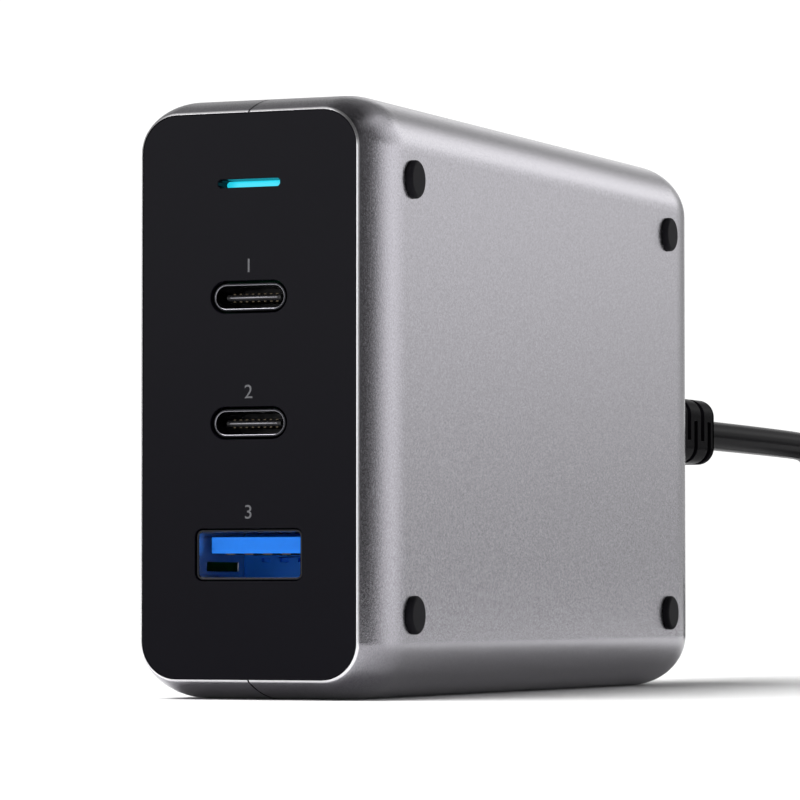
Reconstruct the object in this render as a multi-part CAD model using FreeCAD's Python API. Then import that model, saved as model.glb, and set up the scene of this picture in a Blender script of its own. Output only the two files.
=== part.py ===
import FreeCAD, Part
import math
import os

# A desktop USB charger, in millimetres. It stands on the XY plane with its front towards -Y.
# The mains cord leaves the back along +Y, and X = 0 is the plane where the two case halves meet.

# Case
BODY_WIDTH = 31.0
BODY_HEIGHT = 68.4
BODY_DEPTH = 108.0
CORNER_RADIUS = 6.5
WALL = 2.0
TAPER_DEPTH = 8.75
TAPER_INSET = 2.0
BACK_TAPER_DEPTH = 7.4
RIM_CHAMFER = 0.25
BACK_CHAMFER = 0.5
SEAM_GAP = 0.2
LIP_THICKNESS = 0.9
LIP_REACH = 1.5
LIP_CLEARANCE = 0.05

# Front panel and the ledge that it sits on
PANEL_THICKNESS = 2.0
PANEL_CLEARANCE = 0.05
PANEL_SETBACK = 0.05
LEDGE_OVERLAP = 1.7
LEDGE_THICKNESS = 2.4

# Sockets, with their heights measured from the middle of the body
SOCKET_SETBACK = 0.3
SOCKET_DEPTH = 13.0
SOCKET_SHEET = 0.3
USB_C_UPPER_OFFSET = 11.1
USB_C_LOWER_OFFSET = -3.1
USB_C_WIDTH = 8.34
USB_C_HEIGHT = 2.56
USB_C_GAP = 0.25
USB_C_SHELL_DEPTH = 8.5
USB_C_FLOOR_DEPTH = 6.2
USB_C_TONGUE_WIDTH = 6.7
USB_C_TONGUE_THICKNESS = 0.7
USB_C_TONGUE_SETBACK = 1.1
USB_C_TONGUE_BEVEL = 0.2
USB_C_CONTACTS = 8
USB_C_CONTACT_PITCH = 0.75
USB_C_CONTACT_WIDTH = 0.28
USB_A_OFFSET = -17.9
USB_A_WIDTH = 12.5
USB_A_HEIGHT = 5.12
USB_A_CORNER = 0.5
USB_A_GAP = 0.08
USB_A_FLOOR_DEPTH = 12.0
USB_A_TONGUE_WIDTH = 11.1
USB_A_TONGUE_THICKNESS = 1.84
USB_A_TONGUE_DROP = 0.55
USB_A_TONGUE_SETBACK = 1.8
USB_A_CONTACTS = 4
USB_A_CONTACT_PITCH = 2.3
USB_A_CONTACT_WIDTH = 1.1
CONTACT_THICKNESS = 0.12
CONTACT_SETBACK = 0.6
SPRING_WIDTH = 1.8
SPRING_LENGTH = 5.0
SPRING_SLIT = 0.25
SPRING_SPACING = 5.6
SPRING_START = 2.2
SIDE_SLOT_LENGTH = 8.4
SIDE_SLOT_HEIGHT = 1.05
SIDE_SLOT_DROP = 1.3

# Light bar
LIGHT_OFFSET = 23.95
LIGHT_WIDTH = 7.5
LIGHT_HEIGHT = 0.8
LIGHT_BEVEL = 0.25
LIGHT_CLEARANCE = 0.07
LIGHT_SETBACK = 2.2
SHROUD_WALL = 0.8
SHROUD_REACH = 3.0
LAMP_THICKNESS = 1.0
LAMP_HEIGHT = 1.6
LAMP_GAP = 0.1

# Boards and the rails that hold them
BOARD_THICKNESS = 1.6
BOARD_CLEARANCE = 0.2
RAIL_THICKNESS = 1.1
RAIL_HEIGHT = 0.9
RAIL_CLEARANCE = 0.05
RAIL_MARGIN = 8.0
MAIN_BOARD_STANDOFF = 6.5
MAIN_BOARD_BACK_GAP = 5.0
HEADER_PITCH = 2.54
HEADER_WAYS = 8

# Rubber feet on the side
FOOT_RADIUS = 2.2
FOOT_PROUD = 0.7
FOOT_FROM_FRONT = 11.1
FOOT_FROM_BACK = 11.0
FOOT_OFFSET = 24.7

# Strain relief
RELIEF_OFFSET = 0.6
RELIEF_WIDTH = 9.6
RELIEF_HEIGHT = 9.1
RELIEF_CORNER = 2.4
RELIEF_LENGTH = 39.3
RELIEF_END_BEVEL = 1.0
RELIEF_NECK_RADIUS = 4.0
RELIEF_FLANGE_SIZE = 12.4
RELIEF_FLANGE_BEVEL = 3.0
RELIEF_FLANGE_THICKNESS = 2.5
RELIEF_CLEARANCE = 0.05
SLOT_COUNT = 8
SLOT_PITCH = 2.8
SLOT_WIDTH = 1.3
SLOT_FROM_END = 3.1
SLOT_REACH = 5.9
SLOT_CORE = 5.2

# Mains cord, its hank and its plug
CORD_DIAMETER = 4.2
CORD_SIDES = 8
FOLD_RADIUS = 12.6
FOLD_SIDES = 8
HANK_COLUMNS = 2
HANK_LAYERS = 3
HANK_SLACK = 0.2
HANK_RUN = 84.0
HANK_STUB = 18.0
TAIL_STRAIGHT = 12.6
TAIL_DRIFT = 19.0
TIE_THICKNESS = 0.8
TIE_WIDTH = 8.0
TIE_CLEARANCE = 0.2
PLUG_THICKNESS = 14.0
PLUG_LENGTH = 18.0
PLUG_NECK_LENGTH = 10.0
PLUG_NECK_RADIUS = 3.6
PLUG_BEVEL = 3.0
PLUG_NECK_BEVEL = 1.8
BLADE_SPACING = 12.7
BLADE_WIDTH = 6.3
BLADE_THICKNESS = 1.5
BLADE_LENGTH = 16.0
WIRE_DIAMETER = 1.8
WIRE_SPACING = 2.6
WIRE_LANDING = 6.0

# Parts on the main board, from its front edge or its back edge and from the middle of its height
INDUCTOR_SIZE = 7.5
INDUCTOR_HEIGHT = 4.5
OUTPUT_FROM_FRONT = 7.0
OUTPUT_CAPACITOR_LENGTH = 7.3
OUTPUT_CAPACITOR_WIDTH = 4.3
OUTPUT_CAPACITOR_HEIGHT = 2.8
OUTPUT_CAPACITOR_GAP = 0.6
TRANSFORMER_FROM_FRONT = 25.5
TRANSFORMER_LENGTH = 22.0
TRANSFORMER_HEIGHT = 26.0
CORE_LEG = 5.0
CORE_CENTRE_WIDTH = 7.0
CORE_CENTRE_SHARE = 0.43
CORE_SIDE_WIDTH = 3.0
BOBBIN_WALL = 0.8
BOBBIN_SHARE = 0.85
WINDING_SHARE = 0.7
WINDING_GAP = 1.2
PAD_THICKNESS = 1.5
SPREADER_THICKNESS = 1.0
SPREADER_MARGIN = 7.0
SHEET_THICKNESS = 0.4
CHIP_LENGTH = 6.0
CHIP_WIDTH = 5.0
CHIP_THICKNESS = 1.2
CHIP_OFFSET = 22.0
BULK_CAN_RADIUS = 8.0
BULK_CAN_HEIGHT = 15.0
BULK_FROM_BACK = 27.0
BRIDGE_THICKNESS = 3.5
BRIDGE_WIDTH = 14.0
BRIDGE_HEIGHT = 11.0
BRIDGE_FROM_BACK = 16.0
CHOKE_FROM_BACK = 12.0
CHOKE_OFFSET = 17.5
CHOKE_LENGTH = 15.0
CHOKE_WIDTH = 15.0
CHOKE_LEG = 4.0
CHOKE_HEIGHT = 6.0
CHOKE_WIRE = 1.0
CHOKE_CLEARANCE = 0.1
FILTER_FROM_BACK = 11.0
FILTER_OFFSET = -17.5
FILTER_LENGTH = 9.0
FILTER_WIDTH = 16.0
FILTER_HEIGHT = 13.0
FUSE_FROM_BACK = 9.0
FUSE_GAP = 0.7
FUSE_LENGTH = 4.0
FUSE_WIDTH = 8.4
FUSE_HEIGHT = 7.7

# Places worked out from the sizes above
FRONT = -BODY_DEPTH / 2
BACK = BODY_DEPTH / 2
MIDDLE = BODY_HEIGHT / 2
INNER_SIDE = BODY_WIDTH / 2 - WALL
INNER_TOP = BODY_HEIGHT / 2 - WALL
INNER_BACK = BACK - WALL
TAPER_RADIUS = (TAPER_DEPTH**2 + TAPER_INSET**2) / (2 * TAPER_INSET)
FRONT_TAPER_END = FRONT + RIM_CHAMFER + TAPER_DEPTH
BACK_TAPER_START = BACK - BACK_CHAMFER - BACK_TAPER_DEPTH
PANEL_MARGIN = TAPER_INSET + RIM_CHAMFER + PANEL_CLEARANCE
PANEL_WIDTH = BODY_WIDTH - 2 * PANEL_MARGIN
PANEL_HEIGHT = BODY_HEIGHT - 2 * PANEL_MARGIN
PANEL_CORNER = CORNER_RADIUS - PANEL_MARGIN
PANEL_FRONT = FRONT + PANEL_SETBACK
PANEL_BACK = PANEL_FRONT + PANEL_THICKNESS
LEDGE_BACK = PANEL_BACK + LEDGE_THICKNESS
SOCKET_FRONT = PANEL_FRONT + SOCKET_SETBACK
PORT_BOARD_FRONT = SOCKET_FRONT + SOCKET_DEPTH
PORT_BOARD_BACK = PORT_BOARD_FRONT + BOARD_THICKNESS
MAIN_BOARD_LEFT = -INNER_SIDE + MAIN_BOARD_STANDOFF
MAIN_BOARD_FACE = MAIN_BOARD_LEFT + BOARD_THICKNESS
MAIN_BOARD_BACK = INNER_BACK - RELIEF_FLANGE_THICKNESS - MAIN_BOARD_BACK_GAP
SPREADER_FACE = INNER_SIDE - SPREADER_THICKNESS
TRANSFORMER_TOP = SPREADER_FACE - PAD_THICKNESS
TRANSFORMER_THICKNESS = TRANSFORMER_TOP - MAIN_BOARD_FACE
TRANSFORMER_Y = PORT_BOARD_BACK + TRANSFORMER_FROM_FRONT
FUSE_OFFSET = FILTER_OFFSET + (FILTER_WIDTH + FUSE_WIDTH) / 2 + FUSE_GAP
RELIEF_Z = MIDDLE + RELIEF_OFFSET
RELIEF_END = BACK + RELIEF_LENGTH
HANK_HALF_WIDTH = HANK_COLUMNS * CORD_DIAMETER / 2 + HANK_SLACK
HANK_HEIGHT = HANK_LAYERS * CORD_DIAMETER + 2 * HANK_SLACK
OUTER_TURN = FOLD_RADIUS + (HANK_COLUMNS - 1) * CORD_DIAMETER / 2
INNER_TURN = FOLD_RADIUS - (HANK_COLUMNS - 1) * CORD_DIAMETER / 2
LOWEST_TURN_Z = TIE_THICKNESS + HANK_SLACK + CORD_DIAMETER / 2
TOP_TURN_Z = LOWEST_TURN_Z + (HANK_LAYERS - 1) * CORD_DIAMETER
PLUG_WIDTH = 2 * TOP_TURN_Z

# Route of the cord from the strain relief down to the hank, and from the hank to the plug
CORD_ROUTE = [
    (0.0, RELIEF_END, RELIEF_Z),
    (0.0, 128.0, RELIEF_Z),
    (-0.4, 163.0, 34.4),
    (-OUTER_TURN, 201.0, LOWEST_TURN_Z),
    (-OUTER_TURN, 228.0, LOWEST_TURN_Z),
]
HANK_NEAR = CORD_ROUTE[-1][1] + HANK_STUB
HANK_FAR = HANK_NEAR + HANK_RUN
TAIL_END = HANK_NEAR + TAIL_STRAIGHT + TAIL_DRIFT + TAIL_STRAIGHT
TAIL_ROUTE = [
    (-INNER_TURN, HANK_NEAR, TOP_TURN_Z),
    (-INNER_TURN, HANK_NEAR + TAIL_STRAIGHT, TOP_TURN_Z),
    (0.0, HANK_NEAR + TAIL_STRAIGHT + TAIL_DRIFT, TOP_TURN_Z),
    (0.0, TAIL_END, TOP_TURN_Z),
]
PLUG_FACE = TAIL_END + PLUG_NECK_LENGTH + PLUG_LENGTH
BEND_SHARE = 0.45

ALONG_X = FreeCAD.Vector(1, 0, 0)
ALONG_Y = FreeCAD.Vector(0, 1, 0)
ALONG_Z = FreeCAD.Vector(0, 0, 1)
ORIGIN = FreeCAD.Vector(0, 0, 0)
CUT_MARGIN = 5.0


def point(x, y, z):
    return FreeCAD.Vector(x, y, z)


def box(low, high):
    """A block between two opposite corners."""
    size = [high[i] - low[i] for i in range(3)]
    return Part.makeBox(*size, point(*low))


def rod(radius, start, end):
    """A round rod between two points."""
    line = end - start
    return Part.makeCylinder(radius, line.Length, start, line)


def outline(width, height, radius, y, x=0.0, z=0.0):
    """A rounded rectangle that faces the front, as a wire."""
    reach_x = width / 2 - radius
    reach_z = height / 2 - radius
    centres = [(reach_x, reach_z), (-reach_x, reach_z), (-reach_x, -reach_z), (reach_x, -reach_z)]
    corners = []
    for turn, (centre_x, centre_z) in enumerate(centres):
        start = math.pi / 2 * turn
        angles = (start, start + math.pi / 4, start + math.pi / 2)
        corners.append([
            point(x + centre_x + radius * math.cos(a), y, z + centre_z + radius * math.sin(a))
            for a in angles
        ])
    edges = []
    for corner, following in zip(corners, corners[1:] + corners[:1]):
        edges.append(Part.Arc(*corner).toShape())
        if corner[2].distanceToPoint(following[0]) > Part.Precision.confusion():
            edges.append(Part.makeLine(corner[2], following[0]))
    return Part.Wire(edges)


def bevelled(width, height, bevel, y, x, z):
    """A rectangle with cut corners that faces the front, as a wire."""
    a, b = width / 2, height / 2
    corners = [(a, b - bevel), (a - bevel, b), (bevel - a, b), (-a, b - bevel)]
    corners += [(-x_corner, -z_corner) for x_corner, z_corner in corners]
    points = [point(x + x_corner, y, z + z_corner) for x_corner, z_corner in corners]
    return Part.makePolygon(points + points[:1])


def prism(wire, depth):
    """A closed wire that faces the front, carried backwards."""
    return Part.Face(wire).extrude(ALONG_Y * depth)


def plate(width, height, radius, y_front, y_back, x=0.0, z=0.0):
    """A rounded rectangle carried from one depth to another."""
    return prism(outline(width, height, radius, y_front, x, z), y_back - y_front)


def standing(length, width, height, y, z, base):
    """A block that stands on a plane of constant X, its base."""
    return box(
        (base, y - length / 2, z - width / 2),
        (base + height, y + length / 2, z + width / 2),
    )


def can(radius, height, y, z, base):
    """A round can that stands on a plane of constant X."""
    return Part.makeCylinder(radius, height, point(base, y, z), ALONG_X)


def group(solids):
    return Part.makeCompound(solids)


# Case

def skin_inset(depth_in_wall, beyond):
    """How far the skin has moved in, a distance beyond the start of an end's taper."""
    return TAPER_RADIUS - math.sqrt((TAPER_RADIUS - depth_in_wall)**2 - beyond**2)


def skin_points(depth_in_wall, front, back):
    """Both ends of the skin's front taper and of its back taper, as (inset, depth) points."""
    return [
        (skin_inset(depth_in_wall, FRONT_TAPER_END - front), front),
        (depth_in_wall, FRONT_TAPER_END),
        (depth_in_wall, BACK_TAPER_START),
        (skin_inset(depth_in_wall, back - BACK_TAPER_START), back),
    ]


def inner_profile(depth_in_wall, front, back):
    """A layer inside the wall, with straight tapers."""
    points = skin_points(depth_in_wall, front, back)
    return [list(pair) for pair in zip(points, points[1:])]


def outer_profile():
    """The outer skin: cut rim, curved front taper, straight side, curved back taper, cut back edge."""
    front = FRONT + RIM_CHAMFER
    back = BACK - BACK_CHAMFER
    start, front_end, back_end, finish = skin_points(0.0, front, back)
    ahead = (front_end[1] - front) / 2
    behind = (back - back_end[1]) / 2
    return [
        [(start[0] + RIM_CHAMFER, FRONT), start],
        [start, (skin_inset(0.0, ahead), front_end[1] - ahead), front_end],
        [front_end, back_end],
        [back_end, (skin_inset(0.0, behind), back_end[1] + behind), finish],
        [finish, (finish[0] + BACK_CHAMFER, BACK)],
    ]


def profile_edge(stretch):
    """One stretch of a profile as an edge, measured out from a corner's centre."""
    points = [point(CORNER_RADIUS - inset, depth, 0) for inset, depth in stretch]
    if len(points) == 2:
        return Part.makeLine(*points)
    return Part.Arc(*points).toShape()


def swept_block(profile):
    """Carry a profile round the body's rounded rectangle and close both ends."""
    reach_x = BODY_WIDTH / 2 - CORNER_RADIUS
    reach_z = BODY_HEIGHT / 2 - CORNER_RADIUS
    signs = ((1, 1), (-1, 1), (-1, -1), (1, -1))
    centres = [point(side * reach_x, 0, MIDDLE + level * reach_z) for side, level in signs]
    faces = []
    for stretch in profile:
        for turn, centre in enumerate(centres):
            corner = profile_edge(stretch)
            corner.rotate(ORIGIN, -ALONG_Y, 90 * turn)
            corner.translate(centre)
            faces.append(corner.revolve(centre, -ALONG_Y, 90))
            side = corner.copy()
            side.rotate(centre, -ALONG_Y, 90)
            faces.append(side.extrude(centres[(turn + 1) % 4] - centre))
    for inset, depth in (profile[0][0], profile[-1][-1]):
        width, height = BODY_WIDTH - 2 * inset, BODY_HEIGHT - 2 * inset
        faces.append(Part.Face(outline(width, height, CORNER_RADIUS - inset, depth, z=MIDDLE)))
    shell = Part.Shell(faces)
    shell.sewShape()
    block = Part.Solid(shell)
    if block.Volume < 0:
        block.reverse()
    return block


def cavity():
    return swept_block(inner_profile(WALL, LEDGE_BACK, INNER_BACK))


def half_space(x_low, x_high):
    """A slab across the whole body between two planes of constant X."""
    return box(
        (x_low, FRONT - CUT_MARGIN, -CUT_MARGIN),
        (x_high, BACK + CUT_MARGIN, BODY_HEIGHT + CUT_MARGIN),
    )


def relief_hole():
    radius = RELIEF_NECK_RADIUS + RELIEF_CLEARANCE
    return rod(radius, point(0, INNER_BACK - CUT_MARGIN, RELIEF_Z), point(0, BACK + CUT_MARGIN, RELIEF_Z))


def case_wall():
    """Both halves of the case as one wall, open at the front for the panel."""
    pocket = plate(
        PANEL_WIDTH + 2 * PANEL_CLEARANCE, PANEL_HEIGHT + 2 * PANEL_CLEARANCE,
        PANEL_CORNER + PANEL_CLEARANCE, FRONT - CUT_MARGIN, PANEL_BACK, z=MIDDLE,
    )
    window = plate(
        PANEL_WIDTH - 2 * LEDGE_OVERLAP, PANEL_HEIGHT - 2 * LEDGE_OVERLAP,
        PANEL_CORNER - LEDGE_OVERLAP, PANEL_BACK - CUT_MARGIN, LEDGE_BACK + CUT_MARGIN, z=MIDDLE,
    )
    return swept_block(outer_profile()).cut([cavity(), pocket, window, relief_hole()])


def port_board_rails(side):
    """Two upright ribs on a side wall, with the edge of the port board between them."""
    x_inner = side * (INNER_SIDE - RAIL_HEIGHT)
    x_outer = side * (INNER_SIDE + WALL / 2)
    reach = MIDDLE - WALL - RAIL_MARGIN
    ribs = []
    for start in (PORT_BOARD_FRONT - RAIL_CLEARANCE - RAIL_THICKNESS, PORT_BOARD_BACK + RAIL_CLEARANCE):
        ribs.append(box(
            (min(x_inner, x_outer), start, MIDDLE - reach),
            (max(x_inner, x_outer), start + RAIL_THICKNESS, MIDDLE + reach),
        ))
    return ribs


def main_board_rails():
    """Ribs along the top and bottom walls, with the edges of the main board between them."""
    ribs = []
    for start in (MAIN_BOARD_LEFT - RAIL_CLEARANCE - RAIL_THICKNESS, MAIN_BOARD_FACE + RAIL_CLEARANCE):
        for low, high in (
            (WALL / 2, WALL + RAIL_HEIGHT),
            (BODY_HEIGHT - WALL - RAIL_HEIGHT, BODY_HEIGHT - WALL / 2),
        ):
            ribs.append(box(
                (start, PORT_BOARD_BACK + RAIL_MARGIN, low),
                (start + RAIL_THICKNESS, MAIN_BOARD_BACK - RAIL_MARGIN, high),
            ))
    return ribs


def lip_block(depth_in_wall, front, x_low):
    """The part of the wall's inner layer that crosses the middle plane, with the cavity filled."""
    layer = swept_block(inner_profile(depth_in_wall, front, BACK - depth_in_wall))
    return layer.common(half_space(x_low, LIP_REACH))


def case_left(wall):
    lip = lip_block(WALL - LIP_THICKNESS, LEDGE_BACK + LIP_CLEARANCE, -SEAM_GAP / 2)
    lip = lip.cut([cavity(), relief_hole()])
    half = wall.common(half_space(-BODY_WIDTH, -SEAM_GAP / 2))
    return half.fuse([lip] + port_board_rails(-1) + main_board_rails()).removeSplitter()


def case_right(wall):
    rebate = lip_block(WALL - LIP_THICKNESS - LIP_CLEARANCE, LEDGE_BACK, SEAM_GAP / 2)
    half = wall.common(half_space(SEAM_GAP / 2, BODY_WIDTH)).cut(rebate)
    return half.fuse(port_board_rails(1)).removeSplitter()


# Feet

def foot_places():
    """Depth and height of each foot on the side."""
    places = {}
    for end, y in (("front", FRONT + FOOT_FROM_FRONT), ("rear", BACK - FOOT_FROM_BACK)):
        for level, z in (("upper", MIDDLE + FOOT_OFFSET), ("lower", MIDDLE - FOOT_OFFSET)):
            places[f"foot_{end}_{level}"] = (y, z)
    return places


def foot(y, z):
    return can(FOOT_RADIUS, FOOT_PROUD, y, z, BODY_WIDTH / 2)


# Front panel

def usb_c_outer(gap):
    return USB_C_WIDTH + 2 * SOCKET_SHEET + 2 * gap, USB_C_HEIGHT + 2 * SOCKET_SHEET + 2 * gap


def usb_a_outer(gap):
    return USB_A_WIDTH + 2 * SOCKET_SHEET + 2 * gap, USB_A_HEIGHT + 2 * SOCKET_SHEET + 2 * gap


def light_slot(gap, y_front, y_back):
    width, height = LIGHT_WIDTH + 2 * gap, LIGHT_HEIGHT + 2 * gap
    return prism(bevelled(width, height, LIGHT_BEVEL, y_front, 0.0, MIDDLE + LIGHT_OFFSET), y_back - y_front)


def light_shroud():
    reach_x = LIGHT_WIDTH / 2 + LIGHT_CLEARANCE + SHROUD_WALL
    reach_z = LIGHT_HEIGHT / 2 + LIGHT_CLEARANCE + SHROUD_WALL
    z = MIDDLE + LIGHT_OFFSET
    return box((-reach_x, PANEL_BACK, z - reach_z), (reach_x, PANEL_BACK + SHROUD_REACH, z + reach_z))


def front_panel():
    """The plate with its cut-outs, and a shroud behind it that carries the light bar."""
    panel = plate(PANEL_WIDTH, PANEL_HEIGHT, PANEL_CORNER, PANEL_FRONT, PANEL_BACK, z=MIDDLE)
    panel = panel.fuse(light_shroud())
    before, past = PANEL_FRONT - CUT_MARGIN, PANEL_BACK + CUT_MARGIN
    cuts = [light_slot(LIGHT_CLEARANCE, before, past)]
    width, height = usb_c_outer(USB_C_GAP)
    for offset in (USB_C_UPPER_OFFSET, USB_C_LOWER_OFFSET):
        cuts.append(plate(width, height, height / 2, before, past, z=MIDDLE + offset))
    width, height = usb_a_outer(USB_A_GAP)
    corner = USB_A_CORNER + SOCKET_SHEET + USB_A_GAP
    cuts.append(plate(width, height, corner, before, past, z=MIDDLE + USB_A_OFFSET))
    return panel.cut(cuts).removeSplitter()


def light_bar():
    lamp_front = PORT_BOARD_FRONT - LAMP_THICKNESS - LAMP_GAP
    return light_slot(0.0, PANEL_FRONT + LIGHT_SETBACK, lamp_front)


def light_source():
    return box(
        (-LIGHT_WIDTH / 2, PORT_BOARD_FRONT - LAMP_THICKNESS, MIDDLE + LIGHT_OFFSET - LAMP_HEIGHT / 2),
        (LIGHT_WIDTH / 2, PORT_BOARD_FRONT, MIDDLE + LIGHT_OFFSET + LAMP_HEIGHT / 2),
    )


# Sockets

def usb_c_shell(z):
    """An oblong tube drawn from thin sheet."""
    back = SOCKET_FRONT + USB_C_SHELL_DEPTH
    width, height = usb_c_outer(0.0)
    tube = plate(width, height, height / 2, SOCKET_FRONT, back, z=z)
    bore = plate(USB_C_WIDTH, USB_C_HEIGHT, USB_C_HEIGHT / 2, SOCKET_FRONT, back, z=z)
    return tube.cut(bore)


def usb_c_tongue(z):
    """The moulded insert: a thin tongue on a block that fills the shell and stands on the board."""
    floor = SOCKET_FRONT + USB_C_FLOOR_DEPTH
    shell_back = SOCKET_FRONT + USB_C_SHELL_DEPTH
    width, height = usb_c_outer(0.0)
    plug = plate(USB_C_WIDTH, USB_C_HEIGHT, USB_C_HEIGHT / 2, floor, shell_back, z=z)
    base = box(
        (-width / 2, shell_back, z - height / 2),
        (width / 2, PORT_BOARD_FRONT, z + height / 2),
    )
    tip = SOCKET_FRONT + USB_C_TONGUE_SETBACK
    tongue = box(
        (-USB_C_TONGUE_WIDTH / 2, tip, z - USB_C_TONGUE_THICKNESS / 2),
        (USB_C_TONGUE_WIDTH / 2, floor, z + USB_C_TONGUE_THICKNESS / 2),
    )
    at_tip = [e for e in tongue.Edges if e.BoundBox.YMax < tip + CONTACT_THICKNESS]
    tongue = tongue.makeChamfer(USB_C_TONGUE_BEVEL, [e for e in at_tip if e.BoundBox.XLength > CUT_MARGIN])
    return plug.fuse([base, tongue]).removeSplitter()


def usb_c_contacts(z):
    """Rows of flat contacts on both faces of the tongue."""
    start = SOCKET_FRONT + USB_C_TONGUE_SETBACK + CONTACT_SETBACK
    end = SOCKET_FRONT + USB_C_FLOOR_DEPTH
    contacts = []
    for i in range(USB_C_CONTACTS):
        x = (i - (USB_C_CONTACTS - 1) / 2) * USB_C_CONTACT_PITCH
        for low in (USB_C_TONGUE_THICKNESS / 2, -USB_C_TONGUE_THICKNESS / 2 - CONTACT_THICKNESS):
            contacts.append(box(
                (x - USB_C_CONTACT_WIDTH / 2, start, z + low),
                (x + USB_C_CONTACT_WIDTH / 2, end, z + low + CONTACT_THICKNESS),
            ))
    return group(contacts)


def spring_slit(x, y, z):
    """A U-shaped slit that frees a spring finger in the floor or roof of the shell."""
    half = SPRING_WIDTH / 2
    outer = box((x - half - SPRING_SLIT, y, z - SOCKET_SHEET),
                (x + half + SPRING_SLIT, y + SPRING_LENGTH, z + SOCKET_SHEET))
    finger = box((x - half, y + SPRING_SLIT, z - SOCKET_SHEET),
                 (x + half, y + SPRING_LENGTH, z + SOCKET_SHEET))
    return outer.cut(finger)


def usb_a_shell(z):
    """A rectangular tube of folded sheet with spring fingers cut in its walls."""
    width, height = usb_a_outer(0.0)
    tube = plate(width, height, USB_A_CORNER + SOCKET_SHEET, SOCKET_FRONT, PORT_BOARD_FRONT, z=z)
    bore = plate(USB_A_WIDTH, USB_A_HEIGHT, USB_A_CORNER, SOCKET_FRONT, PORT_BOARD_FRONT, z=z)
    start = SOCKET_FRONT + SPRING_START
    slits = []
    for side in (-1, 1):
        for level in (-1, 1):
            wall_z = z + level * (USB_A_HEIGHT + SOCKET_SHEET) / 2
            slits.append(spring_slit(side * SPRING_SPACING / 2, start, wall_z))
        x = side * (USB_A_WIDTH + SOCKET_SHEET) / 2
        slot_z = z - SIDE_SLOT_DROP
        slits.append(box((x - SOCKET_SHEET, start, slot_z - SIDE_SLOT_HEIGHT / 2),
                         (x + SOCKET_SHEET, start + SIDE_SLOT_LENGTH, slot_z + SIDE_SLOT_HEIGHT / 2)))
    return tube.cut([bore] + slits)


def usb_a_contact_places():
    return [(i - (USB_A_CONTACTS - 1) / 2) * USB_A_CONTACT_PITCH for i in range(USB_A_CONTACTS)]


def usb_a_tongue_bottom(z):
    return z + USB_A_HEIGHT / 2 - USB_A_TONGUE_DROP - USB_A_TONGUE_THICKNESS


def usb_a_tongue(z):
    """The coloured insert: a thick tongue in the upper part and the wall behind it."""
    floor = SOCKET_FRONT + USB_A_FLOOR_DEPTH
    insert = plate(USB_A_WIDTH, USB_A_HEIGHT, USB_A_CORNER, floor, PORT_BOARD_FRONT, z=z)
    bottom = usb_a_tongue_bottom(z)
    tongue = box(
        (-USB_A_TONGUE_WIDTH / 2, SOCKET_FRONT + USB_A_TONGUE_SETBACK, bottom),
        (USB_A_TONGUE_WIDTH / 2, floor, bottom + USB_A_TONGUE_THICKNESS),
    )
    pockets = []
    low = bottom - SPRING_WIDTH / 2
    for x in usb_a_contact_places():
        pockets.append(box(
            (x - USB_A_CONTACT_WIDTH / 2, floor, low),
            (x + USB_A_CONTACT_WIDTH / 2, floor + CONTACT_SETBACK, low + 2 * SPRING_SLIT),
        ))
    return insert.fuse(tongue).cut(pockets).removeSplitter()


def usb_a_contacts(z):
    """Spring contacts along the underside of the tongue."""
    start = SOCKET_FRONT + USB_A_TONGUE_SETBACK + CONTACT_SETBACK
    bottom = usb_a_tongue_bottom(z)
    contacts = []
    for x in usb_a_contact_places():
        contacts.append(box(
            (x - USB_A_CONTACT_WIDTH / 2, start, bottom - CONTACT_THICKNESS),
            (x + USB_A_CONTACT_WIDTH / 2, SOCKET_FRONT + USB_A_FLOOR_DEPTH, bottom),
        ))
    return group(contacts)


# Boards and what they carry

def port_board():
    width, height = 2 * (INNER_SIDE - BOARD_CLEARANCE), 2 * (INNER_TOP - BOARD_CLEARANCE)
    edge = bevelled(width, height, CORNER_RADIUS - WALL, PORT_BOARD_FRONT, 0.0, MIDDLE)
    return prism(edge, BOARD_THICKNESS)


def main_board():
    return box(
        (MAIN_BOARD_LEFT, PORT_BOARD_BACK, WALL + BOARD_CLEARANCE),
        (MAIN_BOARD_FACE, MAIN_BOARD_BACK, BODY_HEIGHT - WALL - BOARD_CLEARANCE),
    )


def board_connector():
    """A header in the corner between the two boards."""
    length = HEADER_WAYS * HEADER_PITCH
    return box(
        (MAIN_BOARD_FACE, PORT_BOARD_BACK, MIDDLE - length / 2),
        (MAIN_BOARD_FACE + HEADER_PITCH, PORT_BOARD_BACK + HEADER_PITCH, MIDDLE + length / 2),
    )


def output_blocks(length, width, height, shift):
    """A block for each socket, in a row behind the port board."""
    y = PORT_BOARD_BACK + OUTPUT_FROM_FRONT
    return group([
        standing(length, width, height, y, MIDDLE + offset + shift, MAIN_BOARD_FACE)
        for offset in (USB_C_UPPER_OFFSET, USB_C_LOWER_OFFSET, USB_A_OFFSET)
    ])


def output_inductors():
    return output_blocks(INDUCTOR_SIZE, INDUCTOR_SIZE, INDUCTOR_HEIGHT, 0.0)


def output_capacitors():
    """A flat capacitor below each inductor."""
    shift = -INDUCTOR_SIZE / 2 - OUTPUT_CAPACITOR_GAP - OUTPUT_CAPACITOR_WIDTH / 2
    return output_blocks(OUTPUT_CAPACITOR_LENGTH, OUTPUT_CAPACITOR_WIDTH, OUTPUT_CAPACITOR_HEIGHT, shift)


def transformer_block(thickness, reach_y, reach_z):
    """A block round the transformer's middle, from its thickness and its reach along Y and Z."""
    middle = (MAIN_BOARD_FACE + TRANSFORMER_TOP) / 2
    return box(
        (middle - thickness / 2, TRANSFORMER_Y - reach_y, MIDDLE - reach_z),
        (middle + thickness / 2, TRANSFORMER_Y + reach_y, MIDDLE + reach_z),
    )


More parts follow.
